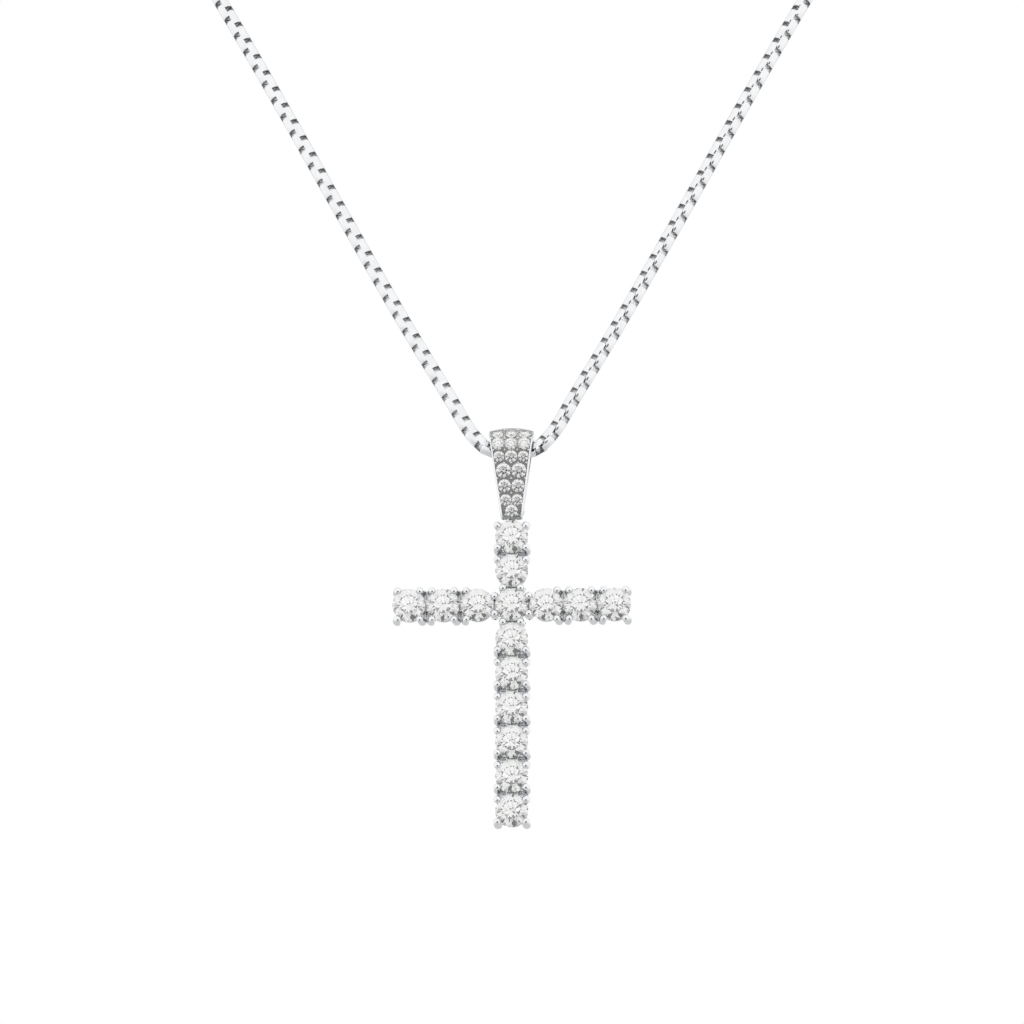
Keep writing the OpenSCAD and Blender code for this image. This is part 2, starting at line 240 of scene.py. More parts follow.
def middle_of(node):
    """The middle of a solid's box, in millimetres from the hanging point."""
    low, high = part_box(node)
    return ((low + high) / 2 - HANG) / MM


def towards(azimuth, elevation):
    """A direction: azimuth round to the right from the front, elevation up from level."""
    level = math.cos(elevation)
    return Vector((math.sin(azimuth) * level, -math.cos(azimuth) * level, math.sin(elevation)))


class Wire:
    """A shader socket. Expressions on it add their Math nodes."""

    def __init__(self, shader, socket):
        self.shader = shader
        self.socket = socket

    def math(self, operation, *values):
        sockets = dict(enumerate(values))
        return self.shader.node("ShaderNodeMath", {"operation": operation}, sockets)["Value"]

    def __add__(self, other):
        return self.math("ADD", self, other)

    def __radd__(self, other):
        return self.math("ADD", other, self)

    def __sub__(self, other):
        return self.math("SUBTRACT", self, other)

    def __rsub__(self, other):
        return self.math("SUBTRACT", other, self)

    def __mul__(self, other):
        return self.math("MULTIPLY", self, other)

    def __rmul__(self, other):
        return self.math("MULTIPLY", other, self)


class Outputs:
    """The outputs of a node by name, each as a Wire."""

    def __init__(self, shader, node):
        self.shader = shader
        self.node = node

    def __getitem__(self, name):
        return Wire(self.shader, self.node.outputs[name])


class Shader:
    """The node tree of a material or a world."""

    def __init__(self, owner):
        owner.use_nodes = True
        self.tree = owner.node_tree
        self.tree.nodes.clear()

    def node(self, kind, settings=None, sockets=None):
        """Adds a node, sets it, then sets or links its sockets."""
        made = self.tree.nodes.new(kind)
        for name, value in (settings or {}).items():
            setattr(made, name, value)
        for name, value in (sockets or {}).items():
            target = made.inputs[name]
            if isinstance(value, Wire):
                self.tree.links.new(value.socket, target)
            else:
                target.default_value = value
        return Outputs(self, made)

    def ramp(self, low, high, value, to_low=0.0, to_high=1.0):
        """A smooth step of value from low to high."""
        return self.node("ShaderNodeMapRange", {"interpolation_type": "SMOOTHSTEP"}, {
            "Value": value, "From Min": low, "From Max": high, "To Min": to_low, "To Max": to_high,
        })["Result"]

    def noise(self, place, scale, detail):
        """Soft noise from 0 to 1, with about scale patches to the metre."""
        sockets = {"Vector": place, "Scale": scale, "Detail": detail}
        return self.node("ShaderNodeTexNoise", {}, sockets)["Fac"]

    def colour(self, mask, low, high):
        """A colour between low and high."""
        mixed = self.node("ShaderNodeMix", {"data_type": "RGBA"}, {0: mask, 6: low, 7: high})
        return Wire(self, mixed.node.outputs[2])

    def principled(self, sockets):
        """Ends a material in a Principled BSDF with these sockets."""
        surface = self.node("ShaderNodeBsdfPrincipled", {}, sockets)["BSDF"]
        self.node("ShaderNodeOutputMaterial", {}, {"Surface": surface})


def opaque(colour, factor=1.0):
    """A colour with its alpha, made darker by factor."""
    return (colour[0] * factor, colour[1] * factor, colour[2] * factor, 1.0)


def new_material(name):
    """A material with its shader and the Object coordinates that its pattern follows."""
    material = bpy.data.materials.new(name)
    shader = Shader(material)
    return material, shader, shader.node("ShaderNodeTexCoord")["Object"]


def white_gold(name, colour, low_rough, high_rough, dent):
    """White gold with the faint waves and hairlines that a polishing wheel leaves."""
    wave_scale, hair_scale, dulled = 900.0, 7000.0, 0.95
    hair_turn, hair_stretch = (0.2, 0.5, 0.3), (1.0, 7.0, 1.0)
    material, shader, place = new_material(name)
    waves = shader.noise(place, wave_scale, 2.0)
    along_hairs = shader.node("ShaderNodeMapping", {}, {
        "Vector": place, "Rotation": hair_turn, "Scale": hair_stretch})["Vector"]
    hairs = shader.noise(along_hairs, hair_scale, 3.0)
    worn = shader.ramp(0.35, 0.7, waves)
    shader.principled({
        "Base Color": shader.colour(worn, opaque(colour), opaque(colour, dulled)),
        "Metallic": 1.0,
        "Roughness": low_rough + (high_rough - low_rough) * hairs,
        "Normal": shader.node("ShaderNodeBump", {}, {
            "Strength": 0.25, "Distance": dent, "Height": 0.75 * waves + 0.25 * hairs})["Normal"],
    })
    return material


def clear_stone(name, colour):
    """Clear stone with the faintest clouding."""
    cloud_scale, clouded = 700.0, 0.965
    material, shader, place = new_material(name)
    cloud = shader.ramp(0.3, 0.75, shader.noise(place, cloud_scale, 2.0))
    shader.principled({
        "Base Color": shader.colour(cloud, opaque(colour), opaque(colour, clouded)),
        "Roughness": 0.0,
        "IOR": 2.417,
        "Transmission Weight": 1.0,
    })
    return material


def pale_floor(name, colour):
    """The floor's matt paper, with a faint grain."""
    grain_scale, grained = 60.0, 0.98
    material, shader, place = new_material(name)
    grain = shader.noise(place, grain_scale, 3.0)
    shader.principled({
        "Base Color": shader.colour(grain, opaque(colour), opaque(colour, grained)),
        "Roughness": 0.9,
    })
    return material


def finish(name):
    """The material of that name, made the first time it is asked for."""
    found = bpy.data.materials.get(name)
    if found:
        return found
    choices = bpy.context.scene.finish_choices
    if name == "clear_brilliant":
        return clear_stone(name, choices.stone)
    if name == "pale_floor":
        return pale_floor(name, choices.floor)
    # Colour, lowest and highest roughness, and depth of the dents in metres
    metals = {
        "polished_white_gold": (choices.metal, 0.03, 0.10, 0.000012),
        "satin_white_gold": (choices.metal, 0.25, 0.45, 0.00002),
        # The tumbled finish is rougher, and its darker colour is painted shade in the recesses.
        "tumbled_shade_white_gold": (choices.tumbled_shade, 0.25, 0.45, 0.00002),
        # The next two finishes carry painted shade, on the bail's steep field edges and on its
        # recessed field.
        "shaded_edge_white_gold": (choices.inside, 0.25, 0.5, 0.00002),
        "shaded_field_white_gold": (choices.cut, 0.35, 0.5, 0.00002),
    }
    return white_gold(name, *metals[name])


def as_mesh(bm, name):
    """Turns a bmesh into a mesh and frees it."""
    mesh = bpy.data.meshes.new(name)
    bm.to_mesh(mesh)
    bm.free()
    return mesh


def copies(name, pairs):
    """One mesh of copies, from pairs of a template mesh and its place, a matrix in millimetres."""
    bm = bmesh.new()
    for template, place in pairs:
        count = len(bm.verts)
        bm.from_mesh(template)
        bm.verts.ensure_lookup_table()
        bmesh.ops.transform(bm, matrix=place, verts=bm.verts[count:])
    return as_mesh(bm, name)


def welded(bm, distance=1e-5):
    """Merges points that touch and turns the faces outwards."""
    bmesh.ops.remove_doubles(bm, verts=bm.verts, dist=distance)
    bmesh.ops.recalc_face_normals(bm, faces=bm.faces)
    return bm


def spun(profile, steps):
    """A closed solid of revolution about Z from a profile of (radius, height) points."""
    bm = bmesh.new()
    points = [bm.verts.new((r, 0, z)) for r, z in profile]
    for a, b in zip(points, points[1:]):
        bm.edges.new((a, b))
    bmesh.ops.spin(
        bm, geom=bm.verts[:] + bm.edges[:], cent=(0, 0, 0), axis=(0, 0, 1), dvec=(0, 0, 0),
        angle=2 * math.pi, steps=steps, use_merge=True, use_duplicate=False)
    return welded(bm)


def evenly(start, end, count):
    """Even steps from start towards end, which isn't one of them."""
    return [start + (end - start) * k / count for k in range(count)]


def arc(centre, radius, start, end, count):
    """Points of an arc in (radius, height), angles in degrees from outwards."""
    turns = [math.radians(start + (end - start) * k / count) for k in range(count + 1)]
    return [(centre[0] + radius * math.cos(a), centre[1] + radius * math.sin(a)) for a in turns]


def wrapped(columns, rows, place):
    """A grid joined end to end both ways. place gives the point at a column and row."""
    bm = bmesh.new()
    bmesh.ops.create_grid(bm, x_segments=columns, y_segments=rows, size=1)
    for vert in bm.verts:
        column = round((vert.co.x + 1) / 2 * columns) % columns
        row = round((vert.co.y + 1) / 2 * rows) % rows
        vert.co = place(column, row)
    return welded(bm)


def volume(mesh):
    """What a closed mesh encloses."""
    bm = bmesh.new()
    bm.from_mesh(mesh)
    held = bm.calc_volume()
    bm.free()
    return held


def loose_object(mesh):
    """An object for a mesh that is only used to shape another."""
    made = bpy.data.objects.new(mesh.name, mesh)
    bpy.context.scene.collection.objects.link(made)
    return made


def combined(first, second, operation):
    """One mesh from two: UNION, or DIFFERENCE to cut the second out of the first."""
    target = loose_object(first)
    tool = loose_object(second)
    cut = target.modifiers.new("combine", "BOOLEAN")
    cut.operation = operation
    cut.solver = "MANIFOLD"
    cut.object = tool
    graph = bpy.context.evaluated_depsgraph_get()
    made = bpy.data.meshes.new_from_object(target.evaluated_get(graph))
    if abs(volume(made) - volume(first)) < LEAST_CHANGE:
        raise RuntimeError(f"{operation} changed nothing on {first.name}")
    for used in (target, tool):
        mesh = used.data
        bpy.data.objects.remove(used)
        bpy.data.meshes.remove(mesh)
    return made


def new_piece(name, mesh, finishes, body, sharp=None):
    """Puts a mesh in millimetres into the frame as a piece that rides on a body.

    Its faces are flat, or smooth up to the angle sharp, in degrees.
    """
    mesh.transform(TO_FRAME)
    # Clearing the materials forgets which faces have which finish
    kinds = [face.material_index for face in mesh.polygons]
    mesh.materials.clear()
    for material in finishes:
        mesh.materials.append(finish(material))
    mesh.polygons.foreach_set("material_index", kinds)
    if sharp is None:
        mesh.shade_flat()
    else:
        mesh.shade_smooth()
        mesh.set_sharp_from_angle(angle=math.radians(sharp))
    piece = bpy.data.objects.new(name, mesh)
    bpy.context.scene.collection.objects.link(piece)
    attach(piece, body)
    return piece


# Stones

def brilliant(sizes, diameter, sides):
    """A round brilliant about the origin, table towards +Z, cut facet by facet."""
    radius = diameter / 2
    hair, weld = radius * 1e-4, radius * 1e-3
    girdle = mm(sizes.girdle) * diameter / mm(sizes.diameter) / 2
    table = radius * sizes.table
    crown, pavilion = math.tan(sizes.crown), math.tan(sizes.pavilion)
    eighth, sixteenth = math.pi / 4, math.pi / 8
    flat = table * math.cos(sixteenth)
    star = flat + (radius - flat) * sizes.star
    lower = radius * (1 - sizes.lower)
    table_z = girdle + (radius - table) * crown
    star_z = girdle + (radius - star * math.cos(sixteenth)) * crown
    lower_z = -girdle - (radius - lower * math.cos(sixteenth)) * pavilion

    def at(distance, azimuth, z):
        return Vector((distance * math.cos(azimuth), distance * math.sin(azimuth), z))

    bm = bmesh.new()
    bmesh.ops.create_cone(
        bm, cap_ends=True, segments=sides, radius1=radius, radius2=radius, depth=4 * radius)

    def grind(a, b, c, outward):
        """Cuts away what lies outside the plane through three points."""
        normal = (b - a).cross(c - a).normalized()
        if normal.dot(outward) < 0:
            normal.negate()
        out = bmesh.ops.bisect_plane(
            bm, geom=bm.verts[:] + bm.edges[:] + bm.faces[:], dist=hair,
            plane_co=a, plane_no=normal, clear_outer=True)
        edges = [e for e in out["geom_cut"] if isinstance(e, bmesh.types.BMEdge) and e.is_boundary]
        if edges:
            bmesh.ops.edgeloop_fill(bm, edges=edges)

    up, down = Vector((0, 0, 1)), Vector((0, 0, -1))
    for k in range(8):
        main = eighth * k
        half = main + sixteenth
        star_tip, lower_tip = at(star, half, star_z), at(lower, half, lower_z)
        rim = at(radius, main, girdle)
        across = at(1, main + math.pi / 2, 0)
        grind(rim, rim + across, at(table, main, table_z), up)
        foot = at(radius, main, -girdle)
        grind(foot, foot + across, Vector((0, 0, -girdle - radius * pavilion)), down)
        for side in (0, eighth):
            for z, tip, out in ((girdle, star_tip, up), (-girdle, lower_tip, down)):
                grind(at(radius, main + side, z), at(radius, half, z), tip, out)
        grind(at(table, main, table_z), at(table, main + eighth, table_z), star_tip, up)
    level = Vector((0, 0, table_z))
    grind(level, level + Vector((1, 0, 0)), level + Vector((0, 1, 0)), up)
    bmesh.ops.remove_doubles(bm, verts=bm.verts, dist=weld)
    bmesh.ops.dissolve_degenerate(bm, edges=bm.edges, dist=weld)
    bmesh.ops.recalc_face_normals(bm, faces=bm.faces)
    return bm


def seat_of(sizes, diameter, clear, sides):
    """The space that a stone takes in its metal, wider by clear all round."""
    radius = diameter / 2
    girdle = mm(sizes.girdle) / 2
    table = radius * sizes.table
    top = girdle + clear + (radius - table) * math.tan(sizes.crown)
    deep = girdle + clear + radius * math.tan(sizes.pavilion)
    wider = clear / math.sin(sizes.crown)
    return spun([
        (0, top), (table + wider, top), (radius + clear, girdle + clear),
        (radius + clear, -girdle - clear), (0, -deep),
    ], sides)


def stone_place(node):
    """The middle of a cross stone's girdle, in millimetres from the hanging point."""
    sizes = bpy.context.scene.stone_sizes
    radius = mm(sizes.diameter) / 2
    front = mm(sizes.girdle) / 2 + radius * (1 - sizes.table) * math.tan(sizes.crown)
    middle = middle_of(node)
    middle.y = (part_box(node)[0].y - HANG.y) / MM + front
    return middle


class PENDANT_OT_stones(bpy.types.Operator):
    """Cuts the fifteen brilliants of the cross"""

    bl_idname = "pendant.stones"
    bl_label = "Stones of the cross"

    def execute(self, context):
        sizes = context.scene.stone_sizes
        for index, node in enumerate(STONE_NODES):
            mesh = as_mesh(brilliant(sizes, mm(sizes.diameter), sides=64), node)
            turn = Matrix.Rotation(sizes.turn * index, 4, "Z")
            mesh.transform(Matrix.Translation(stone_place(node)) @ TO_VIEWER @ turn)
            name = node.replace("stone", "brilliant")
            stone = new_piece(name, mesh, ["clear_brilliant"], "pendant")
            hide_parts(node)
        return {"FINISHED"}


# Cross

# Heights and sizes in millimetres. Heights count forwards from the girdles, and those of the
# gallery rails, low bridges and grooves from the back of the baskets
GALLERY_WIDTH, GALLERY_TALL = 0.55, 0.7
SEAT_WIDTH, SEAT_TALL, SEAT_FRONT = 0.42, 0.36, -0.76
LOW_BRIDGE, LOW_BRIDGE_FRONT = 0.35, 0.64
HIGH_BRIDGE, HIGH_BRIDGE_FRONT = -0.94, -0.82
# Each kind of bridge: its width across the bar, its thickness and how far its edges are eased
BRIDGES = {"low": (3.9, 0.58, 0.08), "near": (2.55, 0.58, 0.08), "high": (1.5, 0.24, 0.05)}
GROOVE_SIZE, GROOVE_EASE = (0.15, 4.0, 0.8), 0.02


def cross_steps(sizes):
    """Each stone of the cross as its steps across and up from the centre stone."""
    steps = [(0, 0)]
    steps += [(0, k) for k in range(1, sizes.up + 1)]
    steps += [(0, -k) for k in range(1, sizes.down + 1)]
    for k in range(1, sizes.side + 1):
        steps += [(-k, 0), (k, 0)]
    return steps


def prong_mesh(diameter, sizes):
    """A prong along Z: a round bead in front, a slimmer shaft and a rounded end behind."""
    bead = diameter / 2
    shaft = bead * sizes.shaft
    tip = mm(sizes.tip)
    neck = -math.degrees(math.acos(sizes.shaft))
    # How far the end passes the basket's back, and heights under the bead and halfway down
    past_back, under_bead, halfway = 0.12, -0.2, -1.1
    end = -mm(sizes.depth) - past_back
    wide = bead + mm(sizes.flare) / 2
    round_end = 0.5 * wide
    profile = arc((0, tip - bead), bead, 90, neck, 10)
    profile += [(shaft, under_bead), ((shaft + wide) / 2, halfway)]
    profile += arc((wide - round_end, end + round_end), round_end, 0, -90, 6)
    profile.append((0, end))
    return as_mesh(spun(profile, 24), "prong")


def rail_mesh(outer, width, tall, front):
    """A rail round a basket, with eased edges."""
    ease = 0.09
    inner, back = outer - width, front - tall
    corners = [
        (outer - ease, front - ease, 90), (outer - ease, back + ease, 0),
        (inner + ease, back + ease, -90), (inner + ease, front - ease, 180)]
    profile = [spot for r, z, turn in corners for spot in arc((r, z), ease, turn, turn - 90, 3)]
    return as_mesh(spun(profile + profile[:1], 56), "rail")


def eased_block(size, ease):
    """A block with its edges eased, about the origin."""
    bm = bmesh.new()
    bmesh.ops.create_cube(bm, size=1)
    bmesh.ops.scale(bm, vec=size, verts=bm.verts)
    bmesh.ops.bevel(
        bm, geom=bm.edges[:], offset=ease, offset_type="OFFSET", segments=2, profile=0.5,
        affect="EDGES", material=-1)
    return bm


def prong_places(sizes, stone_sizes):
    """Where the prongs of single stones stand, and those that the centre stone shares."""
    pitch = mm(sizes.pitch)
    radius = mm(stone_sizes.diameter) / 2
    # How far the beads reach over a stone's edge, and their angle from across the bar
    bite, shared_bite, angle = 0.26, 0.15, math.radians(38.5)
    reach = radius + mm(sizes.prong) / 2 - bite
    along, aside = reach * math.sin(angle), reach * math.cos(angle)
    own = []
    for across, up in cross_steps(sizes):
        steps = abs(across) + abs(up)
        if not steps:
            continue
        outward = Vector((across, up)) / steps
        sideways = Vector((-outward.y, outward.x))
        for end in ((1,) if steps == 1 else (1, -1)):
            for side in (1, -1):
                spot = Vector((across, up)) * pitch + outward * end * along
                spot += sideways * side * aside
                lean = outward * end * mm(sizes.lean) / mm(sizes.depth)
                place = Matrix.Translation((spot.x, spot.y, 0))
                place[0][2], place[1][2] = -lean.x, -lean.y
                own.append(place)
    reach = radius + mm(sizes.shared) / 2 - shared_bite
    aside = math.sqrt(reach ** 2 - (pitch / 2) ** 2)
    shared = []
    for quarter in range(4):
        for side in (1, -1):
            turn = Matrix.Rotation(quarter * math.pi / 2, 4, "Z")
            shared.append(turn @ Matrix.Translation((pitch / 2, side * aside, 0)))
    return own, shared


def bridges_and_grooves(sizes):
    """The bridges between the baskets, and the grooves that are cut across their fronts."""
    pitch, rail, depth = mm(sizes.pitch), mm(sizes.rail), mm(sizes.depth)
    into_rails = 0.5
    reach = pitch - 2 * rail + into_rails
    blocks = {
        kind: as_mesh(eased_block((reach, width, thick), ease), kind + "_bridge")
        for kind, (width, thick, ease) in BRIDGES.items()
    }
    groove = as_mesh(eased_block(GROOVE_SIZE, GROOVE_EASE), "groove")
    bridges, grooves = [], []
    for across, up in cross_steps(sizes)[1:]:
        steps = abs(across) + abs(up)
        x, y = Vector((across, up)) * pitch * (steps - 0.5) / steps
        turn = Matrix.Rotation(math.pi / 2 if up else 0, 4, "Z")
        low = blocks["near" if steps == 1 else "low"]
        bridges.append((low, Matrix.Translation((x, y, LOW_BRIDGE - depth)) @ turn))
        bridges.append((blocks["high"], Matrix.Translation((x, y, HIGH_BRIDGE)) @ turn))
        grooves.append((groove, Matrix.Translation((x, y, LOW_BRIDGE_FRONT - depth)) @ turn))
    return copies("bridges", bridges), copies("grooves", grooves)


def pin_hole(half_length):
    """What is drilled out for the pin."""
    end, edge = (0, half_length), (PIN_HOLE, half_length)
    hole = spun([end, edge, (PIN_HOLE, -half_length), (0, -half_length)], 32)
    bmesh.ops.transform(hole, matrix=PIN_PLACE, verts=hole.verts)
    return as_mesh(hole, "pin_hole")


def tab_mesh():
    """The tab on the topmost basket, seen from the front: a plate with a round eye on the pin."""
    thick, deep, eye, low, ease = 0.9, 0.83, 0.65, -9.25, 0.05
    plate = eased_block((thick, deep, PIN_Z - low), ease)
    middle = (0, PIN_Y + eye - deep / 2, (PIN_Z + low) / 2)
    bmesh.ops.translate(plate, vec=middle, verts=plate.verts)
    half = [(0, thick / 2), (eye - ease, thick / 2), (eye, thick / 2 - ease)]
    round_eye = spun(half + [(r, -z) for r, z in reversed(half)], 40)
    bmesh.ops.transform(round_eye, matrix=PIN_PLACE, verts=round_eye.verts)
    tab = combined(as_mesh(plate, "tab"), as_mesh(round_eye, "tab_eye"), "UNION")
    return combined(tab, pin_hole(1), "DIFFERENCE")


def mark_cross(mesh, sizes, middle):
    """Marks the bridges' fronts as satin, and the grooves and the baskets' insides as tumbled, a
    rougher finish whose darker colour is painted shade.
    """
    tumbled_shade, satin = 1, 2
    pitch, depth = mm(sizes.pitch), mm(sizes.depth)
    # How near the line between two baskets the grooves and the bridges' open fronts lie, and how
    # far from a stone's axis and behind its girdle the inside of a basket does
    groove_near, front_near, inside, under_girdle = 0.08, 0.45, 2.1, 0.02
    for face in mesh.polygons:
        spot = face.center - middle
        step = Vector((round(spot.x / pitch), 0, round(spot.z / pitch))) * pitch
        inward = Vector((step.x - spot.x, 0, step.z - spot.z))
        off = max(abs(inward.x), abs(inward.z))
        behind = spot.y - depth + LOW_BRIDGE_FRONT
        on_front = min(abs(behind), abs(spot.y + HIGH_BRIDGE_FRONT)) < 0.05
        if off > pitch / 2 - groove_near and 0.01 < behind < 0.42:
            face.material_index = tumbled_shade
        elif on_front and face.normal.y < -0.6 and off > pitch / 2 - front_near:
            face.material_index = satin
        elif (spot.y > under_girdle and inward.length < inside
                and face.normal.dot(inward.normalized()) > 0.3):
            face.material_index = tumbled_shade


class PENDANT_OT_cross(bpy.types.Operator):
    """Makes the soldered baskets, bridges, prongs and hanging tab of the cross"""

    bl_idname = "pendant.cross"
    bl_label = "Cross setting"

    def execute(self, context):
        sizes = context.scene.cross_sizes
        stones = context.scene.stone_sizes
        pitch, rail, depth = mm(sizes.pitch), mm(sizes.rail), mm(sizes.depth)
        spots = [Matrix.Translation((x * pitch, y * pitch, 0)) for x, y in cross_steps(sizes)]

        gallery = rail_mesh(rail, GALLERY_WIDTH, GALLERY_TALL, GALLERY_TALL - depth)
        seat_rail = rail_mesh(rail, SEAT_WIDTH, SEAT_TALL, SEAT_FRONT)
        rails = copies("rails", [(ring, spot) for ring in (gallery, seat_rail) for spot in spots])
        bridges, grooves = bridges_and_grooves(sizes)

        own, shared = prong_places(sizes, stones)
        prong = prong_mesh(mm(sizes.prong), sizes)
        shared_prong = prong_mesh(mm(sizes.shared), sizes)
        prongs = [(prong, spot) for spot in own] + [(shared_prong, spot) for spot in shared]
        seat = as_mesh(seat_of(stones, mm(stones.diameter), clear=0.02, sides=48), "seat")

        mesh = combined(rails, bridges, "UNION")
        mesh = combined(mesh, copies("prongs", prongs), "UNION")
        mesh = combined(mesh, copies("seats", [(seat, spot) for spot in spots]), "DIFFERENCE")
        mesh = combined(mesh, grooves, "DIFFERENCE")
        middle = stone_place("stone_centre")
        mesh.transform(Matrix.Translation(middle) @ TO_VIEWER)
        mesh = combined(mesh, tab_mesh(), "UNION")
        mark_cross(mesh, sizes, middle)
        # The tumbled finish paints shade in the grooves and inside the baskets.
        finishes = ["polished_white_gold", "tumbled_shade_white_gold", "satin_white_gold"]
        cross = new_piece("baskets", mesh, finishes, "pendant", sharp=32)
        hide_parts("cross_setting")
        return {"FINISHED"}


# Bail

class Tear:
    """An outline in depth and height round two circles, the top one over the foot's."""

    def __init__(self, middle, top_r, top_z, foot_r, foot_z):
        self.middle = middle
        self.top_r, self.top_z = top_r, top_z
        self.foot_r, self.foot_z = foot_r, foot_z
        self.lean = math.degrees(math.asin((top_r - foot_r) / (top_z - foot_z)))

    def on_circle(self, radius, height, angle):
        """A point of a circle, at an angle in degrees up from the front."""
        a = math.radians(angle)
        return Vector((0, self.middle - radius * math.cos(a), height + radius * math.sin(a)))

    def top(self, angle):
        """A point of the top circle."""
        return self.on_circle(self.top_r, self.top_z, angle)

    def foot(self, angle):
        """A point of the foot's circle."""
        return self.on_circle(self.foot_r, self.foot_z, angle)

    def stations(self, over, behind, under, before):
        """Points all round from the front, each with the angle of its outward normal."""
        lean = self.lean
        back, front = 180 + lean, 360 - lean
        made = [(self.top(a), a) for a in evenly(-lean, back, over)]
        made += [(self.top(back).lerp(self.foot(back), s), back) for s in evenly(0, 1, behind)]
        made += [(self.foot(a), a) for a in evenly(back, front, under)]
        made += [(self.foot(-lean).lerp(self.top(-lean), s), front) for s in evenly(0, 1, before)]
        return made

    def front(self, z):
        """The point of the front at a height, and the angle of its normal."""
        lean = self.lean
        high, low = self.top(-lean), self.foot(-lean)
        if z > high.z:
            angle = math.degrees(math.asin(min(1, (z - self.top_z) / self.top_r)))
            return self.top(angle), angle
        if z > low.z:
            return low.lerp(high, (z - low.z) / (high.z - low.z)), -lean
        angle = math.degrees(math.asin((z - self.foot_z) / self.foot_r))
        return self.foot(angle), angle


def normal_at(angle):
    """The direction at an angle in degrees up from the front."""
    a = math.radians(angle)
    return Vector((0, -math.cos(a), math.sin(a)))


BAIL_OUTSIDE = Tear(middle=-0.15, top_r=2.45, top_z=0.48, foot_r=1.1, foot_z=-7.55)
BAIL_LOOP = Tear(middle=0, top_r=1.4, top_z=0, foot_r=0.4, foot_z=-5.4)
# Heights of the bail's top corners and of its foot
BAIL_CORNER, BAIL_FOOT = 2.45, -8.65
# Angles between which the front is paved, and the angle under which the foot begins
FIELD_LOW, FIELD_HIGH, FOOT_BEGINS = -58, 69, -36
# The slot in the foot that the cross's tab hangs in: its size and its middle
SLOT_SIZE, SLOT_MIDDLE = (1.1, 4.9, 2.25), (0, 1.9, -8.025)


def tapered(top, foot, z):
    """A width at height z, from the one at the bail's top corners to the one at its foot."""
    share = (BAIL_CORNER - min(z, BAIL_CORNER)) / (BAIL_CORNER - BAIL_FOOT)
    return mm(top + (foot - top) * share)


def half_width(sizes, z):
    """Half the bail's width at a height."""
    return tapered(sizes.top_width, sizes.foot_width, z) / 2


def rim_width(sizes, z):
    """The width of each rim at a height."""
    return tapered(sizes.top_rim, sizes.foot_rim, z)


def crown_drop(sizes, x, angle):
    """How far the crowned top lies below its middle."""
    half = mm(sizes.top_width) / 2
    return mm(sizes.crown) * (x / half) ** 2 * max(0, math.sin(math.radians(angle))) ** 3


def in_field(angle):
    """Is the band paved at this angle?"""
    return FIELD_LOW < (angle + 180) % 360 - 180 < FIELD_HIGH


def bail_band(sizes):
    """The bail's closed band, with its rims, recessed field and open loop."""
    # Steps over the top, down the back, round under the foot and up the front
    counts = (72, 16, 28, 40)
    outside = BAIL_OUTSIDE.stations(*counts)
    inside = BAIL_LOOP.stations(*counts)
    recess = mm(sizes.recess)
    # The band's rounded edge: how far in from it, and how deep
    edge = [(0, 0.2), (0.03, 0.11), (0.09, 0.06)]
    # The rim's inner edge, and the foot of its wall on the field's floor
    rim_edge = [(-0.03, 0.0), (0.0, 0.015)]
    wall_foot = [0.07, 0.13]
    # Shares of the way from the middle to the rim
    field = [0.66, 0.33, 0.0]
    # How far the loop's edges are eased, across and outwards
    ease, eased_out = 0.08, 0.1

    def outer_spots(z, deep):
        """Across the outside at a height: distances from the middle, and depths."""
        half, rim = half_width(sizes, z), rim_width(sizes, z)
        left = [(-half + a, d) for a, d in edge]
        left += [(-half + rim + a, d * (deep > 0)) for a, d in rim_edge]
        left += [(-half + rim + a, deep) for a in wall_foot]
        left += [(-(half - rim) * s, deep) for s in field]
        return left + [(-x, d) for x, d in reversed(left[:-1])]

    def place(column, row):
        point, angle = outside[row]
        spots = outer_spots(point.z, recess if in_field(angle) else 0)
        if column < len(spots):
            x, depth = spots[column]
            depth += crown_drop(sizes, x, angle)
            return point - normal_at(angle) * depth + Vector((x, 0, 0))
        point, angle = inside[row]
        half = half_width(sizes, point.z)
        spots = spots + [(half, eased_out), (half - ease, 0), (ease - half, 0), (-half, eased_out)]
        x, out = spots[column]
        return point + normal_at(angle) * out + Vector((x, 0, 0))

    columns = len(outer_spots(0, recess)) + 4
    return as_mesh(wrapped(columns, len(outside), place), "band")


def mark_field(mesh, sizes):
    """Marks the field as cut and its steep edges darker, both colours painted shade, and the foot
    as satin.
    """
    # The field's grey and its steep edges' darker grey are painted shade of the recess.
    cut, shaded_edge, satin = 1, 2, 3
    # The top of the crown and the bottoms of the drilled holes stay polished
    crown_top, steep_edge, hole_deep, foot_deep = 2.9, 0.08, 0.6, 0.2
    for face in mesh.polygons:
        middle = face.center
        if middle.y > BAIL_OUTSIDE.middle or not BAIL_FOOT < middle.z < crown_top:
            continue
        point, angle = BAIL_OUTSIDE.front(middle.z)
        reach = half_width(sizes, middle.z) - rim_width(sizes, middle.z)
        depth = (point - middle).dot(normal_at(angle)) - crown_drop(sizes, middle.x, angle)
        if abs(middle.x) > reach:
            continue
        if angle < FOOT_BEGINS:
            if depth < foot_deep or in_field(angle) and 0.01 < depth < hole_deep:
                face.material_index = satin
        elif in_field(angle) and 0.01 < depth < hole_deep:
            face.material_index = shaded_edge if abs(middle.x) > reach - steep_edge else cut


def on_field(sizes, x, z, out):
    """A place on the paved field, Z along its normal, out of the metal by out."""
    point, angle = BAIL_OUTSIDE.front(z)
    lift = out - mm(sizes.recess) - crown_drop(sizes, x, angle)
    point = point + normal_at(angle) * lift + Vector((x, 0, 0))
    return Matrix.Translation(point) @ Matrix.Rotation(math.radians(90 - angle), 4, "X")


def both_sides(reach):
    """A distance from the middle to both sides, or the middle alone."""
    return (reach, -reach) if reach else (0,)


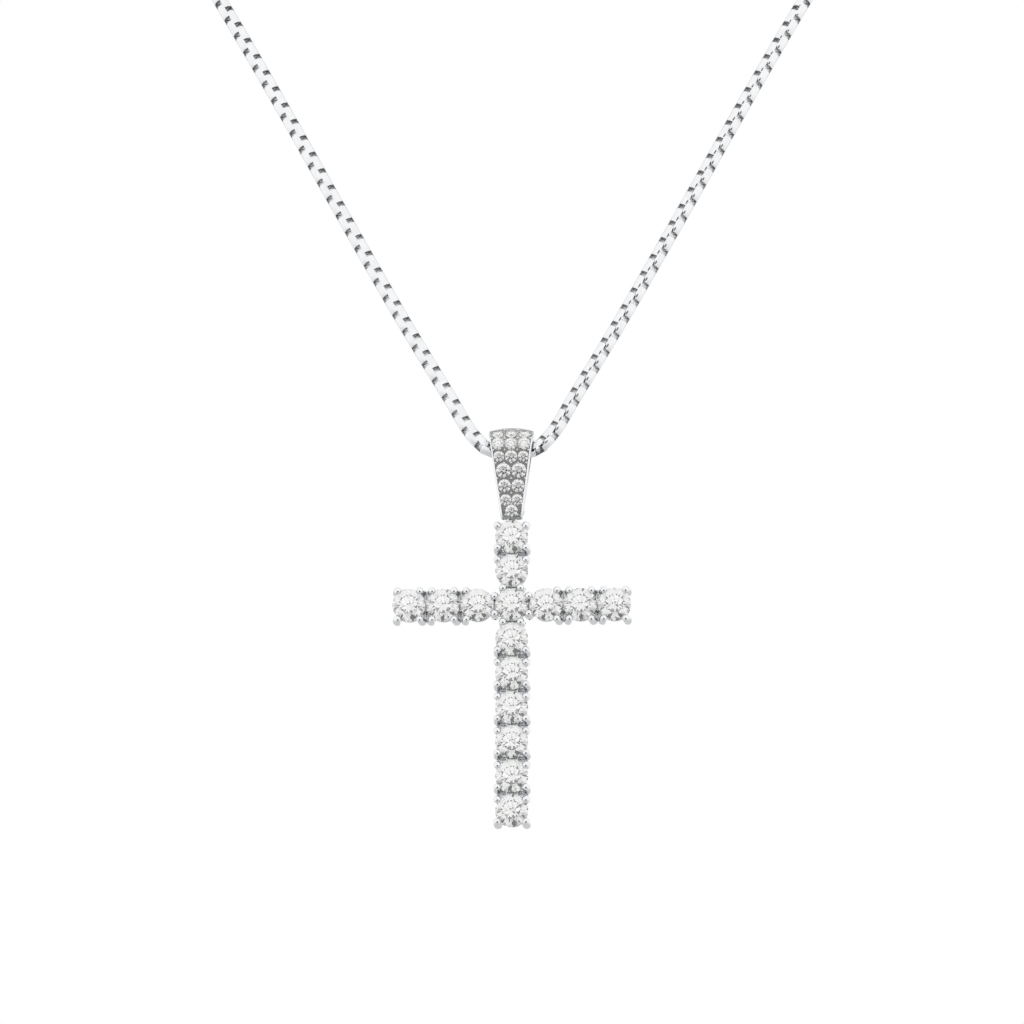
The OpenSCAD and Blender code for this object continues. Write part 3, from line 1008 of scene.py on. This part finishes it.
def pave_spots():
    """Each small stone as its distance from the middle, its height and its diameter."""
    for z, *stones in PAVE_ROWS:
        for reach, diameter in stones:
            for x in both_sides(reach):
                yield x, z, diameter


def drilled_hole(diameter):
    """What is drilled out of the field for a small stone."""
    radius = diameter / 2
    mouth, bottom = radius - 0.03, 0.3 * radius
    above, shoulder, end = 0.3, -0.04, -0.9 * radius
    return as_mesh(spun([
        (0, above), (mouth, above), (mouth, shoulder), (bottom, end), (0, end)], 24), "hole")


class PENDANT_OT_bail(bpy.types.Operator):
    """Makes the bail with its rims, the drilled field, the grains and the slot in its foot"""

    bl_idname = "pendant.bail"
    bl_label = "Bail"

    def execute(self, context):
        sizes = context.scene.bail_sizes
        holes = [(drilled_hole(d), on_field(sizes, x, z, 0)) for x, z, d in pave_spots()]
        mesh = combined(bail_band(sizes), copies("holes", holes), "DIFFERENCE")

        slot = bmesh.new()
        bmesh.ops.create_cube(slot, size=1)
        bmesh.ops.scale(slot, vec=SLOT_SIZE, verts=slot.verts)
        bmesh.ops.translate(slot, vec=SLOT_MIDDLE, verts=slot.verts)
        mesh = combined(mesh, as_mesh(slot, "slot"), "DIFFERENCE")
        mesh = combined(mesh, pin_hole(3), "DIFFERENCE")
        mark_field(mesh, sizes)
        # The bail's field and its steep edges take colours that are painted shade.
        finishes = [
            "polished_white_gold", "shaded_field_white_gold", "shaded_edge_white_gold", "satin_white_gold"]
        bail = new_piece("bail_band", mesh, finishes, "pendant", sharp=32)
        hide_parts("bail")

        radius = mm(sizes.grain)
        bead = as_mesh(spun(arc((0, 0), radius, 90, -90, 8), 14), "grain")
        grains = [
            (bead, on_field(sizes, x, z, 0.3 * radius))
            for z, reaches in GRAIN_ROWS for reach in reaches for x in both_sides(reach)]
        mesh = copies("bail_grains", grains)
        new_piece("bail_grains", mesh, ["polished_white_gold"], "pendant", sharp=80)
        return {"FINISHED"}


class PENDANT_OT_paving(bpy.types.Operator):
    """Cuts and sets the small brilliants of the bail"""

    bl_idname = "pendant.paving"
    bl_label = "Paving"

    def execute(self, context):
        sizes = context.scene.stone_sizes
        bail = context.scene.bail_sizes
        paving = []
        for index, (x, z, diameter) in enumerate(pave_spots()):
            stone = as_mesh(brilliant(sizes, diameter, sides=32), "small_brilliant")
            turn = Matrix.Rotation(sizes.turn * index, 4, "Z")
            # The girdles stand just clear of the metal
            out = 0.02 + 0.02 * diameter
            paving.append((stone, on_field(bail, x, z, out) @ turn))
        mesh = copies("bail_paving", paving)
        new_piece("bail_paving", mesh, ["clear_brilliant"], "pendant")
        return {"FINISHED"}


# Chain

def curve_point(a, b, c, d, t):
    """A point of the smooth curve through b and c."""
    return (b + t * (c - a) / 2 + t * t * (a - 2.5 * b + 2 * c - d / 2)
            + t ** 3 * (1.5 * b - a / 2 - 1.5 * c + d / 2))


def route_line(steps):
    """The chain's centre line, from the clasp's left end round to its right end."""
    right = [Vector(p) for p in ROUTE]
    points = [Vector((-p.x, p.y, p.z)) for p in reversed(right[1:])] + right
    last = len(points) - 1
    line = []
    for i in range(last):
        a, b, c, d = (points[max(0, min(last, i + k))] for k in (-1, 0, 1, 2))
        line += [curve_point(a, b, c, d, t) for t in evenly(0, 1, steps)]
    return line + [points[last]]


def spaced(line, pitch, shift):
    """Points evenly along a line, each with its heading, moved along it by shift."""
    lengths = [0.0]
    for a, b in zip(line, line[1:]):
        lengths.append(lengths[-1] + (b - a).length)
    count = int(lengths[-1] // pitch) - 2
    start = (lengths[-1] - count * pitch) / 2 + shift
    made = []
    i = 0
    for k in range(count + 1):
        distance = start + k * pitch
        while lengths[i + 1] < distance:
            i += 1
        share = (distance - lengths[i]) / (lengths[i + 1] - lengths[i])
        made.append((line[i].lerp(line[i + 1], share), (line[i + 1] - line[i]).normalized()))
    return made


def link_mesh(sizes):
    """One link along X: two curved straps, joined at each end by a narrow one across."""
    outer, thick = mm(sizes.diameter) / 2, mm(sizes.strap)
    end = mm(sizes.link) / 2
    # Round the link: along the chain, out from its middle, and half the strap's width
    quarter = [
        (end - 0.22, outer, 0.64), (end - 0.08, 0.94 * outer, 0.62), (end, 0.55 * outer, 0.42)]
    loop = quarter + [(x, -y, w) for x, y, w in reversed(quarter)]
    loop += [(-x, y, w) for x, y, w in reversed(loop)]
    # Across the strap, in half widths: four points of its outside, then two of its inside
    shares, inside_share = (-1, -0.4, 0.4, 1, 0.92, -0.92), 0.9

    def place(column, row):
        x, y, width = loop[row]
        at_end = abs(x) >= end - 0.01
        z = width * shares[column]
        if column > 3:
            in_x, in_y = min(abs(x), end - thick), outer - thick
            if at_end:
                in_x, in_y = abs(x) - thick, min(abs(y), in_y)
            return Vector((math.copysign(in_x, x), math.copysign(in_y, y), z * inside_share))
        # The strap follows the chain's round outside
        fall = outer - math.sqrt(outer ** 2 - z ** 2)
        return Vector((x, y - math.copysign(0 if at_end else fall, y), z))

    bm = wrapped(6, len(loop), place)
    bm.normal_update()
    # Only the faces that look outwards are polished; the others take the tumbled finish, whose
    # darker colour is painted shade in the gaps between the links.
    for face in bm.faces:
        outward = face.normal.y * math.copysign(1, face.calc_center_median().y)
        face.material_index = int(outward < 0.5)
    return as_mesh(bm, "link")


class PENDANT_OT_chain(bpy.types.Operator):
    """Lays the links of the round box chain along its route"""

    bl_idname = "pendant.chain"
    bl_label = "Chain"

    def execute(self, context):
        sizes = context.scene.chain_sizes
        link = link_mesh(sizes)
        links = []
        spots = spaced(route_line(24), mm(sizes.pitch), mm(sizes.shift))
        for index, (point, heading) in enumerate(spots):
            # The links stand with a corner to the front
            front = Vector((0, -1, 0))
            front = (front - heading * front.dot(heading)).normalized()
            across = heading.cross(front)
            left, right = (front - across).normalized(), (front + across).normalized()
            axes = (right, -left) if index % 2 else (left, right)
            place = Matrix((heading, *axes)).transposed().to_4x4()
            links.append((link, Matrix.Translation(point) @ place))
        # The tumbled finish paints shade inside the links.
        finishes = ["polished_white_gold", "tumbled_shade_white_gold"]
        mesh = copies("links", links)
        chain = new_piece("links", mesh, finishes, "necklace", sharp=40)
        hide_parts("chain")
        return {"FINISHED"}


class PENDANT_OT_clasp(bpy.types.Operator):
    """Turns the barrel clasp and finishes the hidden pin"""

    bl_idname = "pendant.clasp"
    bl_label = "Clasp and pin"

    def execute(self, context):
        # Half the barrel, from the bottom of its socket to its middle, as (radius, height)
        half = [
            (0, 4.5), (0.975, 4.5), (0.975, 6.0), (1.3, 6.0), (1.375, 5.93), (1.66, 4.15),
            (1.7, 4.0), (1.7, 3.3), (1.6, 3.2), (1.6, 3.05), (1.7, 2.95), (1.7, 0.25),
            (1.6, 0.12), (1.6, 0.0),
        ]
        profile = half + [(r, -z) for r, z in reversed(half[:-1])]
        mesh = as_mesh(spun(profile, 72), "clasp")
        across = Matrix.Rotation(math.pi / 2, 4, "Y")
        mesh.transform(Matrix.Translation(middle_of("clasp")) @ across)
        finishes = ["polished_white_gold"]
        clasp = new_piece("barrel_clasp", mesh, finishes, "necklace", sharp=30)
        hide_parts("clasp")
        pin = frame["nodes"]["hanger_pin"]
        pin.data.materials.clear()
        pin.data.materials.append(finish("polished_white_gold"))
        return {"FINISHED"}


# Stage

# Round patches of the surroundings: how far to the right of the front and how far up they lie, and
# where their soft edge begins and ends, in degrees from their middle
DARK_PATCH, MIRRORED_PATCH = (5, -23, 21, 16), (5, -23, 25, 19)
LIGHT_BEHIND = (175, 7, 13, 7)
SMALL_GAPS = [(-14, -42, 8, 5), (38, -18, 8, 5), (-36, 22, 8, 5)]


def studio_world(world):
    """White all round, duller below and behind, with dark patches for the metal and the stones."""
    shader = Shader(world)
    toward = shader.node("ShaderNodeTexCoord")["Generated"]
    parts = shader.node("ShaderNodeSeparateXYZ", {}, {"Vector": toward})
    x, y, z = parts["X"], parts["Y"], parts["Z"]
    ray = shader.node("ShaderNodeLightPath")

    def patch(azimuth, elevation, outer, inner):
        """1 inside a round patch of the surroundings, 0 outside it."""
        there = towards(math.radians(azimuth), math.radians(elevation))
        near = x * there.x + y * there.y + z * there.z
        return shader.ramp(math.cos(math.radians(outer)), math.cos(math.radians(inner)), near)

    def background(colour, strength):
        """An even light from all round."""
        sockets = {"Color": opaque(colour), "Strength": strength}
        return shader.node("ShaderNodeBackground", {}, sockets)["Background"]

    def mixed(share, first, second):
        """The first light where share is 0, the second where it is 1."""
        return shader.node("ShaderNodeMixShader", {}, {0: share, 1: first, 2: second})["Shader"]

    # How light it is below, then how much of it is missing behind, in the dark patch and in a gap
    below, behind, dark, gap = 0.62, 0.38, 0.88, 0.85
    light = shader.ramp(-0.85, -0.25, z, below, 1.0)
    light = light * (1.0 - behind * shader.ramp(0.45, 0.95, y) * (1.0 - patch(*LIGHT_BEHIND)))
    light = light * (1.0 - dark * patch(*DARK_PATCH))
    # What the metal mirrors of the dark patch is wider and black
    light = light * (1.0 - ray["Is Reflection Ray"] * patch(*MIRRORED_PATCH))
    # The gaps in the white are for the stones to sparkle against
    for place in SMALL_GAPS:
        light = light * (1.0 - gap * patch(*place))
    studio = mixed(light, background((0, 0, 0), 0.0), background((0.998, 1.0, 0.998), 1.03))
    seen = mixed(ray["Is Camera Ray"], studio, background((1, 1, 1), 1.0))
    shader.node("ShaderNodeOutputWorld", {}, {"Surface": seen})


class PENDANT_OT_stage(bpy.types.Operator):
    """Sets the camera, the floor and the light"""

    bl_idname = "pendant.stage"
    bl_label = "Stage"

    def execute(self, context):
        scene = context.scene
        sizes = scene.stage_sizes
        eye = bpy.data.cameras.new("camera")
        eye.lens = sizes.lens
        eye.sensor_width = 36.0
        eye.clip_start, eye.clip_end = 0.01, 50.0
        camera = bpy.data.objects.new("camera", eye)
        scene.collection.objects.link(camera)
        back = towards(sizes.azimuth, sizes.elevation)
        away = sizes.view_width / 2 / (eye.sensor_width / 2 / sizes.lens)
        camera.location = HANG + Vector((0, 0, sizes.aim)) + back * away
        camera.rotation_mode = "QUATERNION"
        camera.rotation_quaternion = (-back).to_track_quat("-Z", "Y")
        scene.camera = camera

        floor = bmesh.new()
        bmesh.ops.create_grid(floor, x_segments=1, y_segments=1, size=sizes.floor_size / 2)
        bmesh.ops.translate(floor, vec=(0, 0, -sizes.floor_drop), verts=floor.verts)
        floor = bpy.data.objects.new("floor", as_mesh(floor, "floor"))
        floor.data.materials.append(finish("pale_floor"))
        floor.visible_glossy = False
        floor.visible_transmission = False
        scene.collection.objects.link(floor)

        scene.world = bpy.data.worlds.new("studio")
        studio_world(scene.world)
        scene.view_settings.view_transform = "Standard"
        return {"FINISHED"}


OPERATORS = (
    PENDANT_OT_stage, PENDANT_OT_stones, PENDANT_OT_cross, PENDANT_OT_bail, PENDANT_OT_paving,
    PENDANT_OT_chain, PENDANT_OT_clasp,
)
SETTINGS = {
    "stone_sizes": StoneSizes,
    "cross_sizes": CrossSizes,
    "bail_sizes": BailSizes,
    "chain_sizes": ChainSizes,
    "finish_choices": FinishChoices,
    "stage_sizes": StageSizes,
}


class PENDANT_PT_panel(bpy.types.Panel):
    """Lists the sizes and the pieces"""

    bl_label = "Cross pendant"
    bl_idname = "PENDANT_PT_panel"
    bl_space_type = "VIEW_3D"
    bl_region_type = "UI"
    bl_category = "Pendant"

    def draw(self, context):
        for name, group in SETTINGS.items():
            box = self.layout.box()
            box.label(text=group.__doc__)
            for size in group.__annotations__:
                box.prop(getattr(context.scene, name), size)
        for operator in OPERATORS:
            self.layout.operator(operator.bl_idname)


def register():
    for group in SETTINGS.values():
        bpy.utils.register_class(group)
    for name, group in SETTINGS.items():
        setattr(bpy.types.Scene, name, PointerProperty(type=group))
    for operator in OPERATORS:
        bpy.utils.register_class(operator)
    bpy.utils.register_class(PENDANT_PT_panel)


def unregister():
    bpy.utils.unregister_class(PENDANT_PT_panel)
    for operator in reversed(OPERATORS):
        bpy.utils.unregister_class(operator)
    for name in SETTINGS:
        delattr(bpy.types.Scene, name)
    for group in reversed(SETTINGS.values()):
        bpy.utils.unregister_class(group)


def main():
    register()
    for operator in OPERATORS:
        space, name = operator.bl_idname.split(".")
        getattr(getattr(bpy.ops, space), name)()
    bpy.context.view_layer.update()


if __name__ == "__main__":
    main()
